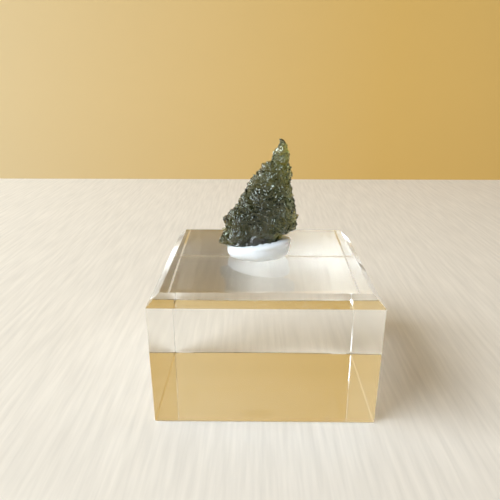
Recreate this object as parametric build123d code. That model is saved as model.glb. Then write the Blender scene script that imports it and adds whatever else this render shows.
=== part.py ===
from build123d import *
import os
from math import cos, radians, sin

# A clear acrylic display block, a pad of putty pressed onto its top, and the stone that the
# pad holds upright. Millimetres, +Z up, the front towards -Y, and the origin at the centre of
# the block's base.

# Block: sawn from thick cast sheet, bevelled round the top and polished all over.
BLOCK_WIDTH = 40.0  # along X
BLOCK_DEPTH = 40.0  # along Y
BLOCK_HEIGHT = 25.0  # along Z
BEVEL = 2.0  # what the top bevel takes off each side, and off the height
UPRIGHT_ARRIS = 0.03  # the sharp corner taken off the upright edges
BOTTOM_ARRIS = 0.2  # the same round the bottom, where the block is set down

# Stone: a thin slab on edge. Its root is the stub that stands in the putty.
STONE_HEIGHT = 21.8  # root to tip
STONE_WIDTH = 15.5  # widest, along X
STONE_THICKNESS = 6.2  # thickest, along Y
ROOT_LENGTH = 8.0  # along X, where it stands on the floor of its seat
ROOT_THICKNESS = 3.4  # along Y, at the same place
STONE_SIDES = 12  # facets round the stone

# The stone's outline above its root, from the bottom up. Height is a share of STONE_HEIGHT, the
# two edges are shares of STONE_WIDTH from the middle of the root, and thickness is a share of
# STONE_THICKNESS.
STONE_OUTLINE = (
    # height, left edge, right edge, thickness
    (0.04, -0.32, 0.28, 0.66),
    (0.07, -0.49, 0.29, 0.74),  # lower left corner, which hangs past the pad
    (0.19, -0.44, 0.37, 0.92),  # notch under the right lobe
    (0.21, -0.43, 0.49, 0.94),
    (0.31, -0.43, 0.51, 1.00),
    (0.40, -0.31, 0.48, 0.96),
    (0.50, -0.22, 0.44, 0.84),
    (0.61, -0.11, 0.42, 0.73),
    (0.78, 0.05, 0.39, 0.53),
    (0.82, 0.15, 0.385, 0.45),  # shoulder under the horn
    (0.95, 0.24, 0.35, 0.27),
    (1.00, 0.25, 0.29, 0.11),
)

# Pad: a lump of putty, lower at its left end, that wraps the root.
PAD_END_WALL = 2.05  # putty past each end of the root, along X
PAD_SIDE_WALL = 2.3  # putty in front of the root and behind it
PAD_FLOOR = 1.2  # putty left under the root
PAD_LEFT_RIM = 1.0  # how far the rim stands above the floor, at the left end
PAD_RIGHT_RIM = 2.8  # the same at the right end
PAD_ROLL = 0.8  # radius that the rim and the foot are rolled to
PAD_X = -1.0  # the middle of the pad, from the middle of the block
PAD_Y = 0.3
SEAT_GAP = 0.3  # between the root's sides and the putty

# The stone stands a little to the left in its pad.
ROOT_SHIFT = -0.4

PAD_LENGTH = ROOT_LENGTH + 2 * (SEAT_GAP + PAD_END_WALL)
PAD_BREADTH = ROOT_THICKNESS + 2 * (SEAT_GAP + PAD_SIDE_WALL)
ROOT_X = PAD_X + ROOT_SHIFT
ROOT_Z = BLOCK_HEIGHT + PAD_FLOOR


def acrylic_block():
    """The clear block: a square prism with four bevels on top and fine arrises elsewhere."""
    base = (Align.CENTER, Align.CENTER, Align.MIN)
    block = Box(BLOCK_WIDTH, BLOCK_DEPTH, BLOCK_HEIGHT, align=base)
    block = chamfer(block.edges().group_by(Axis.Z)[-1], BEVEL)
    block = chamfer(block.edges().group_by(Axis.Z)[0], BOTTOM_ARRIS)
    return chamfer(block.edges().filter_by(Axis.Z), UPRIGHT_ARRIS)


def stone_section(height, left, right, thickness, grown):
    """One level of the stone: a polygon in an ellipse, grown outwards on every side."""
    middle = (left + right) / 2
    half_width = (right - left) / 2 + grown
    half_thickness = thickness / 2 + grown
    corners = []
    for side in range(STONE_SIDES):
        turn = radians(360 * side / STONE_SIDES)
        corners.append((middle + half_width * cos(turn), half_thickness * sin(turn)))
    level = Plane.XY.offset(height)
    return level * Polygon(*corners, align=None)


def stone_solid(grown=0.0):
    """The stone in its place, or the space that it needs when it is grown by a clearance."""
    sections = [stone_section(0, -ROOT_LENGTH / 2, ROOT_LENGTH / 2, ROOT_THICKNESS, grown)]
    for height, left, right, thickness in STONE_OUTLINE:
        sections.append(
            stone_section(
                height * STONE_HEIGHT,
                left * STONE_WIDTH,
                right * STONE_WIDTH,
                thickness * STONE_THICKNESS,
                grown,
            )
        )
    return Pos(ROOT_X, PAD_Y, ROOT_Z) * loft(sections, ruled=True)


def putty_pad():
    """The putty: an oval lump with a sloping top, and the seat that the stone pressed in it."""
    left_height = PAD_FLOOR + PAD_LEFT_RIM
    right_height = PAD_FLOOR + PAD_RIGHT_RIM
    oval = Ellipse(PAD_LENGTH / 2, PAD_BREADTH / 2)
    lump = extrude(oval, max(left_height, right_height) + PAD_ROLL)
    slope = Plane(
        origin=(0, 0, (left_height + right_height) / 2),
        x_dir=(PAD_LENGTH, 0, right_height - left_height),
        z_dir=(left_height - right_height, 0, PAD_LENGTH),
    )
    lump = split(lump, bisect_by=slope, keep=Keep.BOTTOM)
    rim = lump.faces().sort_by(Axis.Z)[-1].edges()
    foot = lump.faces().sort_by(Axis.Z)[0].edges()
    lump = fillet(rim + foot, PAD_ROLL)
    return Pos(PAD_X, PAD_Y, BLOCK_HEIGHT) * lump - stone_solid(SEAT_GAP)


PARTS = {
    "acrylic_block": acrylic_block,
    "putty_pad": putty_pad,
    "stone": stone_solid,
}

os.makedirs("parts", exist_ok=True)
for name, build in PARTS.items():
    export_step(build(), f"parts/{name}.step")
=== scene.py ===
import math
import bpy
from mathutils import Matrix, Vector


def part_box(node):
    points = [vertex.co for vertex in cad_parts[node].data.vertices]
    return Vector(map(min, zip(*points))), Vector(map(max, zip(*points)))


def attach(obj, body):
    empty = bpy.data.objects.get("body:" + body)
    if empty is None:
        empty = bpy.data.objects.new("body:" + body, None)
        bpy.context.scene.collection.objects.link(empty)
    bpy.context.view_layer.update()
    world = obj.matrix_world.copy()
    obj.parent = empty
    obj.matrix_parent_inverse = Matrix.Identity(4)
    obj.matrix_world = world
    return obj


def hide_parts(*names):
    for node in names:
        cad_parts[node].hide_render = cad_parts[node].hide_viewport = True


bl_info = {
    "name": "Acrylic display cube",
    "version": (1, 0, 0),
    "blender": (4, 5, 0),
    "location": "3D View > Sidebar > Display Cube",
    "description": "A clear bevelled display block with a glass stone held upright in putty",
    "category": "Object",
}

import bmesh
import bpy
from bpy.props import FloatProperty, FloatVectorProperty, PointerProperty
from mathutils import Matrix, Vector, noise
from mathutils.bvhtree import BVHTree

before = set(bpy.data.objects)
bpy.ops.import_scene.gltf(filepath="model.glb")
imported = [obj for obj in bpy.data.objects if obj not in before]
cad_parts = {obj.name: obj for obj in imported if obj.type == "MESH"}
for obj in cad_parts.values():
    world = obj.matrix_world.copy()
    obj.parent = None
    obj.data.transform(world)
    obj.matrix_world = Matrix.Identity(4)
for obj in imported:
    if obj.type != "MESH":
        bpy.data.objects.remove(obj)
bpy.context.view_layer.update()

MM = 0.001
WELD = 0.002 * MM  # corners nearer than this are one corner

PAD_LOW, PAD_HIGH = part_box("putty_pad")
STONE_LOW, STONE_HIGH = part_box("stone")

# The stone's left edge slopes from its lower left corner up to the tip. Ridges run across that
# slope on the left, and along the steep edge on the right.
SLOPE = Vector((STONE_HIGH.x - STONE_LOW.x, 0, STONE_HIGH.z - STONE_LOW.z)).normalized()
FROM_SLOPE = Vector((SLOPE.z, 0, -SLOPE.x))
RIGHT_EDGE = Vector((-0.12, 0, 1)).normalized()
ACROSS_RIGHT_EDGE = Vector((RIGHT_EDGE.z, 0, -RIGHT_EDGE.x))
RIDGES_TURN = (0.18, 0.36)  # where they turn: from the slope, as shares of the stone's width
GRAIN_IN_DEPTH = 0.8  # below 1, the relief is drawn out from front to back
WARP = 0.45  # how far the relief is warped, as a share of the pits' pitch
FINE_PITCH = 0.48  # the small ridges, as shares of the large ones
FINE_HEIGHT = 0.55

# Broad smooth facets on the stone: place across and up its box, and radius.
FACETS = (
    (0.14, 0.16, 1.5 * MM),  # lower left corner
    (0.80, 0.84, 1.3 * MM),  # foot of the horn
)
FACET_LEAN = Vector((-0.55, 0, 0.83)).normalized()  # they lean up and to the left
FACET_CALM = 0.35  # what a facet takes off the relief that crosses it

# The relief is shallow on the root, which stands in the putty, and on the thin tip.
ROOT_RELIEF = 0.3
ROOT_CALM = (0.5 * MM, 2.0 * MM)  # above the root's end, it deepens between these heights
TIP_RELIEF = 0.4
TIP_CALM = 5 * MM

SEED = 3  # without one, each run would warp the stone's relief in its own way

# Finger dents in the putty.
DENT_PITCH = 2.6 * MM
DENT_DEPTH = 0.12 * MM

FLOOR_SIZE = 3.0
WALL_TURNS = (-0.18, 0.18)  # the wall's colour turns along X from its paler one, painted window light on the window's side, to its full one
WALL_FULL = 0.7  # share of that stretch where the colour is full
WALL_SHADE_HEIGHTS = (0.05, 0.35)  # painted shade: the wall's colour darkens between these heights
# How far the painted shade darkens the wall's colour up high.
WALL_SHADE = (0.8, 0.8, 0.8)

WINDOW_SIZE = (0.85, 0.5)
WINDOW_COLOR = (0.86, 0.94, 1.0)
WINDOW_AIM = Vector((-0.69, -0.26, 0.68)).normalized()  # from the block towards the window
WINDOW_DISTANCE = 1.0
OVERHEAD_FROM = 0.6  # sine of the height at which the room light is down to that from above

CAMERA_PLACE = (-0.00163, -0.09424, 0.0596)
CAMERA_DOWN = math.radians(22.33)
CAMERA_LEFT = math.radians(0.75)
CAMERA_LENS = 35.9  # focal length in millimetres
CAMERA_SHIFT = 0.05
CAMERA_NEAR = 1 * MM

LIGHT_BOUNCES = 64  # light runs round and round inside the bevels


class BlockSettings(bpy.types.PropertyGroup):
    """The clear acrylic."""

    ior: FloatProperty(
        name="Refractive index", description="1.49 for cast acrylic", default=1.49, min=1, max=2
    )
    tint: FloatVectorProperty(
        name="Tint",
        description="Colour of the clear acrylic",
        subtype="COLOR",
        default=(0.985, 0.992, 0.99),
        min=0,
        max=1,
    )
    wave: FloatProperty(
        name="Polishing waves",
        description="How far the flame-polished faces swell",
        default=0.0004 * MM,
        unit="LENGTH",
    )


class PuttySettings(bpy.types.PropertyGroup):
    """The white mounting putty."""

    color: FloatVectorProperty(
        name="Colour",
        description="White with a little blue in it",
        subtype="COLOR",
        default=(0.90, 0.95, 1.0),
        min=0,
        max=1,
    )
    voxel: FloatProperty(
        name="Mesh size", description="Spacing of the mesh", default=0.12 * MM, unit="LENGTH"
    )
    seal: FloatProperty(
        name="Seal",
        description="Putty nearer to the stone than this is drawn up against it",
        default=0.5 * MM,
        unit="LENGTH",
    )
    bulge: FloatProperty(
        name="Bulge",
        description="How far the pressed side swells past its foot",
        default=0.3 * MM,
        unit="LENGTH",
    )
    undercut: FloatProperty(
        name="Undercut",
        description="How much smaller the foot is than the lump above it",
        subtype="FACTOR",
        default=0.07,
    )
    bow_undercut: FloatProperty(
        name="Right end undercut",
        description="How much further the foot draws in under the raised right end",
        subtype="FACTOR",
        default=0.14,
    )


class StoneSettings(bpy.types.PropertyGroup):
    """The natural green glass."""

    voxel: FloatProperty(
        name="Mesh size", description="Spacing of the mesh", default=0.092 * MM, unit="LENGTH"
    )
    pit_depth: FloatProperty(
        name="Pit depth",
        description="Depth of the large etched pits",
        default=0.66 * MM,
        unit="LENGTH",
    )
    pit_pitch: FloatProperty(
        name="Pit pitch",
        description="Spacing of the large etched pits",
        default=1.45 * MM,
        unit="LENGTH",
    )
    ridge_height: FloatProperty(
        name="Ridge height",
        description="Height of the winding ridges",
        default=0.44 * MM,
        unit="LENGTH",
    )
    ridge_pitch: FloatProperty(
        name="Ridge pitch",
        description="Spacing of the winding ridges",
        default=0.85 * MM,
        unit="LENGTH",
    )
    facet_tilt: FloatProperty(
        name="Facet tilt", description="Slope of the broad facets, up and to the left", default=0.4
    )
    swell: FloatProperty(
        name="Swell",
        description="Height of the broad rises and hollows",
        default=0.4 * MM,
        unit="LENGTH",
    )
    glass: FloatVectorProperty(
        name="Glass colour",
        description="What the glass lets through",
        subtype="COLOR",
        default=(0.52, 0.59, 0.12),
        min=0,
        max=1,
    )
    density: FloatProperty(
        name="Density", description="How fast the glass darkens, per metre", default=1300.0, min=0
    )


class StageSettings(bpy.types.PropertyGroup):
    """Floor, backdrop, window lamp and room light."""

    floor: FloatVectorProperty(
        name="Floor",
        description="Colour of the floor",
        subtype="COLOR",
        default=(0.82, 0.775, 0.715),
        min=0,
        max=1,
    )
    air_gap: FloatProperty(
        name="Air gap",
        description="Film of air under the block, which keeps its bottom face a mirror",
        default=0.03 * MM,
        unit="LENGTH",
    )
    backdrop: FloatVectorProperty(
        name="Backdrop",
        description="Colour of the wall behind",
        subtype="COLOR",
        default=(0.70, 0.45, 0.13),
        min=0,
        max=1,
    )
    # Painted window light: the wall's colour is paler on the window's side, where the window's
    # light falls on it.
    backdrop_window_lit: FloatVectorProperty(
        name="Backdrop, left",
        description="Colour of the wall where it pales towards the window",
        subtype="COLOR",
        default=(0.665, 0.52, 0.295),
        min=0,
        max=1,
    )
    backdrop_y: FloatProperty(
        name="Backdrop distance",
        description="From the block's middle to the wall",
        default=0.2,
        unit="LENGTH",
    )
    window: FloatProperty(
        name="Window", description="Power of the soft window lamp", default=12.9, unit="POWER"
    )
    horizon: FloatProperty(
        name="Horizon", description="Strength of the room light near the floor", default=1.85, min=0
    )
    overhead: FloatProperty(
        name="Overhead",
        description="Strength of the room light from above, as a share of that near the floor",
        subtype="FACTOR",
        default=0.08,
    )
    fill_left: FloatVectorProperty(
        name="Room light, left",
        description="Colour and strength of the room on the window's side",
        subtype="COLOR",
        default=(0.90, 0.95, 1.0),
        min=0,
        max=1,
    )
    fill_front: FloatVectorProperty(
        name="Room light, front",
        description="Colour and strength of the room in front",
        subtype="COLOR",
        default=(0.45, 0.40, 0.33),
        min=0,
        max=1,
    )
    fill_right: FloatVectorProperty(
        name="Room light, right",
        description="Colour and strength of the room on the far side",
        subtype="COLOR",
        default=(0.43, 0.42, 0.41),
        min=0,
        max=1,
    )


def settings():
    return bpy.context.scene.display_cube


def copy_of_node(node, name):
    """A merged copy of a CAD node, as a new object at the origin."""
    mesh = bpy.data.meshes.new(name)
    shape = bmesh.new()
    shape.from_mesh(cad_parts[node].data)
    bmesh.ops.remove_doubles(shape, verts=shape.verts, dist=WELD)
    shape.to_mesh(mesh)
    shape.free()
    piece = bpy.data.objects.new(name, mesh)
    bpy.context.scene.collection.objects.link(piece)
    return piece


def remesh(piece, voxel):
    """Gives the piece an even mesh of small squares."""
    modifier = piece.modifiers.new("Remesh", "REMESH")
    modifier.mode = "VOXEL"
    modifier.voxel_size = voxel
    modifier.adaptivity = 0
    graph = bpy.context.evaluated_depsgraph_get()
    even = bpy.data.meshes.new_from_object(piece.evaluated_get(graph))
    piece.modifiers.clear()
    old = piece.data
    piece.data = even
    even.name = piece.name
    bpy.data.meshes.remove(old)


def smooth(shape, rounds):
    for _ in range(rounds):
        bmesh.ops.smooth_vert(
            shape,
            verts=shape.verts,
            factor=0.5,
            use_axis_x=True,
            use_axis_y=True,
            use_axis_z=True,
        )


def finish_mesh(piece, shape):
    """Writes the shape to the piece, with its faces outwards and smooth."""
    bmesh.ops.recalc_face_normals(shape, faces=shape.faces)
    for face in shape.faces:
        face.smooth = True
    shape.to_mesh(piece.data)
    shape.free()


def dress(piece, material):
    """Gives the whole piece one material."""
    piece.data.materials.clear()
    piece.data.materials.append(material)


def ease(value, low, high):
    """0 below low, 1 above high, and a smooth step between."""
    t = min(max((value - low) / (high - low), 0.0), 1.0)
    return t * t * (3 - 2 * t)


def along_grain(point, pitch, along, across, stretch):
    """The point on a grid of the given pitch that is stretched along the grain and in depth."""
    deep = GRAIN_IN_DEPTH * point.y
    return Vector((point.dot(along) / stretch, point.dot(across), deep)) / pitch


def pits(sample):
    """Etched glass: 0 in the middle of a pit, rising to a sharp crest between pits."""
    distances, _ = noise.voronoi(sample)
    return min(distances[0] ** 2 * 1.6, 1.0)


def winding_ridges(sample):
    """Narrow winding ridges: 1 on a sharp crest, 0 in the hollows between."""
    return max(1 - 3.2 * abs(noise.noise(sample)), 0.0)


def new_material(name):
    """A node material, with its nodes, links and shader."""
    material = bpy.data.materials.new(name)
    material.use_nodes = True
    tree = material.node_tree
    return material, tree.nodes, tree.links, tree.nodes["Principled BSDF"]


def object_noise(nodes, links, scale, detail=4.0, stretch=(1, 1, 1)):
    """Noise on the piece's own coordinates, scale in cycles per metre."""
    place = nodes.new("ShaderNodeTexCoord")
    mapping = nodes.new("ShaderNodeMapping")
    mapping.inputs["Scale"].default_value = stretch
    links.new(place.outputs["Object"], mapping.inputs["Vector"])
    texture = nodes.new("ShaderNodeTexNoise")
    texture.inputs["Scale"].default_value = scale
    texture.inputs["Detail"].default_value = detail
    links.new(mapping.outputs["Vector"], texture.inputs["Vector"])
    return texture.outputs["Fac"]


def ramp(nodes, links, factor, *stops):
    """A colour ramp over factor; each stop is (place, colour)."""
    node = nodes.new("ShaderNodeValToRGB")
    elements = node.color_ramp.elements
    while len(elements) < len(stops):
        elements.new(0.5)
    for element, (place, color) in zip(elements, stops):
        element.position = place
        element.color = (*color, 1)
    links.new(factor, node.inputs["Fac"])
    return node.outputs["Color"]


def spread(nodes, links, factor, low, high, source=(0.0, 1.0)):
    """Maps factor from the source range to low..high."""
    node = nodes.new("ShaderNodeMapRange")
    node.inputs["From Min"].default_value = source[0]
    node.inputs["From Max"].default_value = source[1]
    node.inputs["To Min"].default_value = low
    node.inputs["To Max"].default_value = high
    links.new(factor, node.inputs["Value"])
    return node.outputs["Result"]


def axes(nodes, links, coordinate):
    """The X, Y and Z outputs of a texture coordinate."""
    split = nodes.new("ShaderNodeSeparateXYZ")
    place = nodes.new("ShaderNodeTexCoord")
    links.new(place.outputs[coordinate], split.inputs["Vector"])
    return split.outputs


def bump(nodes, links, shader, height, distance):
    node = nodes.new("ShaderNodeBump")
    node.inputs["Strength"].default_value = 1
    node.inputs["Distance"].default_value = distance
    links.new(height, node.inputs["Height"])
    links.new(node.outputs["Normal"], shader.inputs["Normal"])


def acrylic_material():
    values = settings().block
    material, nodes, links, shader = new_material("clear acrylic")
    shader.inputs["Base Color"].default_value = (*values.tint, 1)
    shader.inputs["Transmission Weight"].default_value = 1
    shader.inputs["IOR"].default_value = values.ior
    haze = object_noise(nodes, links, 140, detail=3)
    links.new(spread(nodes, links, haze, 0.03, 0.06), shader.inputs["Roughness"])
    swell = object_noise(nodes, links, 90, detail=1)
    bump(nodes, links, shader, swell, values.wave)
    return material


def putty_material():
    values = settings().putty
    material, nodes, links, shader = new_material("white putty")
    tone = object_noise(nodes, links, 500)
    color = Vector(values.color)
    links.new(
        ramp(nodes, links, tone, (0.3, color * 0.96), (0.7, color)), shader.inputs["Base Color"]
    )
    shader.inputs["Subsurface Weight"].default_value = 0.25
    shader.inputs["Subsurface Radius"].default_value = (1.0, 0.9, 0.8)
    shader.inputs["Subsurface Scale"].default_value = 0.8 * MM
    shader.inputs["Roughness"].default_value = 0.5
    grain = object_noise(nodes, links, 3500, detail=3)
    bump(nodes, links, shader, grain, 0.02 * MM)
    return material


def stone_material():
    values = settings().stone
    material, nodes, links, shader = new_material("green natural glass")
    streaks = object_noise(nodes, links, 260, detail=5, stretch=(1, 1, 0.45))
    links.new(
        ramp(
            nodes,
            links,
            streaks,
            (0.3, (0.50, 0.51, 0.26)),
            (0.5, (0.85, 0.87, 0.58)),
            (0.7, (1.0, 1.0, 0.78)),
        ),
        shader.inputs["Base Color"],
    )
    shader.inputs["Transmission Weight"].default_value = 1
    shader.inputs["IOR"].default_value = 1.5
    frost = object_noise(nodes, links, 1600, detail=3)
    links.new(spread(nodes, links, frost, 0.0, 0.06), shader.inputs["Roughness"])
    shader.inputs["Specular IOR Level"].default_value = 0.9
    shader.inputs["Coat Weight"].default_value = 1.0
    shader.inputs["Coat Roughness"].default_value = 0.03
    shader.inputs["Coat IOR"].default_value = 1.65
    pitting = object_noise(nodes, links, 5200, detail=3)
    bump(nodes, links, shader, pitting, 0.012 * MM)
    absorption = nodes.new("ShaderNodeVolumeAbsorption")
    absorption.inputs["Color"].default_value = (*values.glass, 1)
    absorption.inputs["Density"].default_value = values.density
    output = nodes["Material Output"]
    links.new(absorption.outputs["Volume"], output.inputs["Volume"])
    return material


def floor_material():
    values = settings().stage
    material, nodes, links, shader = new_material("pale floor")
    color = Vector(values.floor)
    grain = object_noise(nodes, links, 900, detail=4, stretch=(1, 0.06, 1))
    links.new(
        ramp(nodes, links, grain, (0.3, color * 0.87), (0.7, color)), shader.inputs["Base Color"]
    )
    shader.inputs["Roughness"].default_value = 0.6
    return material


def backdrop_material():
    values = settings().stage
    material, nodes, links, shader = new_material("golden backdrop")
    place = axes(nodes, links, "Object")
    along = spread(nodes, links, place["X"], 0, 1, WALL_TURNS)
    # Painted window light: the colour pales towards the window's side, on the left.
    pale, full = Vector(values.backdrop_window_lit), Vector(values.backdrop)
    color = ramp(nodes, links, along, (0, pale), (WALL_FULL, full))
    # Painted shade: the wall's colour darkens with height.
    up = spread(nodes, links, place["Z"], 0, 1, WALL_SHADE_HEIGHTS)
    painted_wall_shade = ramp(nodes, links, up, (0, (1, 1, 1)), (1, WALL_SHADE))
    mix = nodes.new("ShaderNodeMix")
    mix.data_type = "RGBA"
    mix.blend_type = "MULTIPLY"
    mix.inputs["Factor"].default_value = 1
    links.new(color, mix.inputs["A"])
    links.new(painted_wall_shade, mix.inputs["B"])
    links.new(mix.outputs["Result"], shader.inputs["Base Color"])
    shader.inputs["Roughness"].default_value = 0.9
    return material


def etched_height(point):
    """How far the stone's skin stands above its mean surface, as natural etching leaves it."""
    values = settings().stone
    size = STONE_HIGH - STONE_LOW
    left_end, right_end = RIDGES_TURN
    right = ease((point - STONE_LOW).dot(FROM_SLOPE), left_end * size.x, right_end * size.x)
    height = values.swell * noise.noise(point / (3.0 * values.pit_pitch))
    relief = 1.0
    for across, up, radius in FACETS:
        center = STONE_LOW + Vector((across * size.x, 0, up * size.z))
        offset = point - center
        offset.y = 0
        share = ease(radius - offset.length, 0, 0.5 * radius)
        height -= values.facet_tilt * share * offset.dot(FACET_LEAN)
        relief -= FACET_CALM * share
    warp = noise.noise_vector(point / (1.2 * values.pit_pitch)) * values.pit_pitch * WARP
    point = point + warp
    fine_pitch = values.ridge_pitch * FINE_PITCH
    fine_height = values.ridge_height * FINE_HEIGHT
    for shape, pitch, depth, stretch, middle in (
        (pits, values.pit_pitch, values.pit_depth, 1.5, 0.6),
        (winding_ridges, values.ridge_pitch, values.ridge_height, 1.7, 0.45),
        (winding_ridges, fine_pitch, fine_height, 1.4, 0.45),
    ):
        left_side = shape(along_grain(point, pitch, FROM_SLOPE, SLOPE, stretch))
        right_side = shape(
            along_grain(point, pitch, RIGHT_EDGE, ACROSS_RIGHT_EDGE, 1.6 * stretch)
        )
        height += relief * depth * (left_side + (right_side - left_side) * right - middle)
    return height


def model_stone():
    values = settings().stone
    noise.seed_set(SEED)
    piece = copy_of_node("stone", "etched_stone")
    remesh(piece, values.voxel)
    shape = bmesh.new()
    shape.from_mesh(piece.data)
    smooth(shape, 4)
    shape.normal_update()
    low, high = ROOT_CALM
    moves = []
    for vert in shape.verts:
        above_root = ease(vert.co.z, STONE_LOW.z + low, STONE_LOW.z + high)
        below_tip = ease(STONE_HIGH.z - vert.co.z, 0, TIP_CALM)
        share = ROOT_RELIEF + (1 - ROOT_RELIEF) * above_root
        share *= TIP_RELIEF + (1 - TIP_RELIEF) * below_tip
        moves.append(vert.normal * (share * etched_height(vert.co)))
    for vert, move in zip(shape.verts, moves):
        vert.co += move
    finish_mesh(piece, shape)
    return piece


def model_putty():
    values = settings().putty
    piece = copy_of_node("putty_pad", "pressed_putty")
    remesh(piece, values.voxel)
    stone = bmesh.new()
    stone.from_mesh(bpy.data.objects["etched_stone"].data)
    stone_skin = BVHTree.FromBMesh(stone)
    stone.free()
    shape = bmesh.new()
    shape.from_mesh(piece.data)
    smooth(shape, 8)
    middle = (PAD_LOW + PAD_HIGH) / 2
    half = (PAD_HIGH - PAD_LOW) / 2
    for vert in shape.verts:
        nearest, _, _, distance = stone_skin.find_nearest(vert.co)
        drawn = 1 - ease(distance, 0.6 * values.seal, 1.4 * values.seal)
        free = 1 - drawn
        side = Vector((vert.co.x - middle.x, vert.co.y - middle.y, 0))
        down = min(max(1 - (vert.co.z - PAD_LOW.z) / (2 * half.z), 0.0), 1.0)
        bow = max(side.x / half.x, 0) ** 2
        tuck = (values.undercut + values.bow_undercut * bow) * down**1.5
        belly = math.sin(math.pi * min(1.7 * (1 - down), 1.0))
        dent = noise.noise(vert.co / DENT_PITCH) * DENT_DEPTH
        vert.co -= side * (tuck * free)
        vert.co += side.normalized() * ((values.bulge * belly + dent) * free)
        vert.co += (nearest - vert.co) * drawn * 0.9
    smooth(shape, 4)
    for vert in shape.verts:
        vert.co.z = max(vert.co.z, PAD_LOW.z)
    finish_mesh(piece, shape)
    return piece


class DISPLAY_OT_finish_block(bpy.types.Operator):
    """Gives the block its clear polished acrylic"""

    bl_idname = "display_cube.finish_block"
    bl_label = "Acrylic block"

    def execute(self, context):
        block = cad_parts["acrylic_block"]
        dress(block, acrylic_material())
        return {"FINISHED"}


class DISPLAY_OT_press_putty(bpy.types.Operator):
    """Models the lump of putty pressed round the stone's root"""

    bl_idname = "display_cube.press_putty"
    bl_label = "Putty"

    def execute(self, context):
        piece = model_putty()
        dress(piece, putty_material())
        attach(piece, "pad")
        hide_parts("putty_pad")
        return {"FINISHED"}


class DISPLAY_OT_etch_stone(bpy.types.Operator):
    """Models the stone with its etched pits and ridges"""

    bl_idname = "display_cube.etch_stone"
    bl_label = "Stone"

    def execute(self, context):
        piece = model_stone()
        dress(piece, stone_material())
        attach(piece, "stone")
        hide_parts("stone")
        return {"FINISHED"}


def stage_plane(name, material, place):
    """A flat square of the stage, facing along the third column of place."""
    mesh = bpy.data.meshes.new(name)
    shape = bmesh.new()
    bmesh.ops.create_grid(shape, x_segments=1, y_segments=1, size=FLOOR_SIZE / 2)
    bmesh.ops.transform(shape, matrix=place, verts=shape.verts)
    shape.to_mesh(mesh)
    shape.free()
    plane = bpy.data.objects.new(name, mesh)
    bpy.context.scene.collection.objects.link(plane)
    mesh.materials.append(material)


def window_lamp(scene):
    """A wide soft lamp, where a window would be."""
    lamp = bpy.data.lights.new("window", "AREA")
    lamp.shape = "RECTANGLE"
    lamp.size, lamp.size_y = WINDOW_SIZE
    lamp.energy = settings().stage.window
    lamp.color = WINDOW_COLOR
    window = bpy.data.objects.new("window", lamp)
    scene.collection.objects.link(window)
    window.location = WINDOW_AIM * WINDOW_DISTANCE
    window.rotation_euler = WINDOW_AIM.to_track_quat("Z", "Y").to_euler()


def room_light(scene):
    """Soft light from the room: cool on the window's side, and weaker from above."""
    values = settings().stage
    world = bpy.data.worlds.new("room")
    scene.world = world
    world.use_nodes = True
    nodes, links = world.node_tree.nodes, world.node_tree.links
    direction = axes(nodes, links, "Generated")
    room = ramp(
        nodes,
        links,
        spread(nodes, links, direction["X"], 0, 1, (-1, 1)),
        (0, Vector(values.fill_left)),
        (0.5, Vector(values.fill_front)),
        (1, Vector(values.fill_right)),
    )
    links.new(room, nodes["Background"].inputs["Color"])
    top = values.horizon * values.overhead
    strength = spread(nodes, links, direction["Z"], values.horizon, top, (0, OVERHEAD_FROM))
    links.new(strength, nodes["Background"].inputs["Strength"])


def front_camera(scene):
    lens = bpy.data.cameras.new("camera")
    lens.lens = CAMERA_LENS
    lens.shift_y = CAMERA_SHIFT
    lens.clip_start = CAMERA_NEAR
    camera = bpy.data.objects.new("camera", lens)
    scene.collection.objects.link(camera)
    camera.location = CAMERA_PLACE
    camera.rotation_euler = (math.pi / 2 - CAMERA_DOWN, 0, CAMERA_LEFT)
    scene.camera = camera


class DISPLAY_OT_set_stage(bpy.types.Operator):
    """Sets the floor, the backdrop, the light and the camera"""

    bl_idname = "display_cube.set_stage"
    bl_label = "Stage"

    def execute(self, context):
        scene = context.scene
        values = settings().stage
        under = Matrix.Translation((0, 0, -values.air_gap))
        stage_plane("floor", floor_material(), under)
        upright = Matrix.Rotation(math.pi / 2, 4, "X")
        behind = Matrix.Translation((0, values.backdrop_y, 0))
        stage_plane("backdrop", backdrop_material(), behind @ upright)
        window_lamp(scene)
        room_light(scene)
        front_camera(scene)
        scene.view_settings.view_transform = "Standard"
        scene.cycles.max_bounces = LIGHT_BOUNCES
        scene.cycles.transmission_bounces = LIGHT_BOUNCES
        scene.cycles.glossy_bounces = LIGHT_BOUNCES
        scene.cycles.blur_glossy = 0
        return {"FINISHED"}


class DisplayCubeSettings(bpy.types.PropertyGroup):
    """All the values of the display cube."""

    block: PointerProperty(type=BlockSettings)
    putty: PointerProperty(type=PuttySettings)
    stone: PointerProperty(type=StoneSettings)
    stage: PointerProperty(type=StageSettings)


OPERATORS = (
    DISPLAY_OT_set_stage,
    DISPLAY_OT_finish_block,
    DISPLAY_OT_etch_stone,
    DISPLAY_OT_press_putty,
)


class DISPLAY_PT_cube(bpy.types.Panel):
    """Lists the steps that make the display cube"""

    bl_idname = "DISPLAY_PT_cube"
    bl_label = "Display Cube"
    bl_space_type = "VIEW_3D"
    bl_region_type = "UI"
    bl_category = "Display Cube"

    def draw(self, context):
        for operator in OPERATORS:
            self.layout.operator(operator.bl_idname)


CLASSES = (
    BlockSettings,
    PuttySettings,
    StoneSettings,
    StageSettings,
    DisplayCubeSettings,
    *OPERATORS,
    DISPLAY_PT_cube,
)


def register():
    for item in CLASSES:
        bpy.utils.register_class(item)
    bpy.types.Scene.display_cube = PointerProperty(type=DisplayCubeSettings)


def unregister():
    del bpy.types.Scene.display_cube
    for item in reversed(CLASSES):
        bpy.utils.unregister_class(item)


def main():
    register()
    bpy.ops.display_cube.set_stage()
    bpy.ops.display_cube.finish_block()
    bpy.ops.display_cube.etch_stone()
    bpy.ops.display_cube.press_putty()


if __name__ == "__main__":
    main()
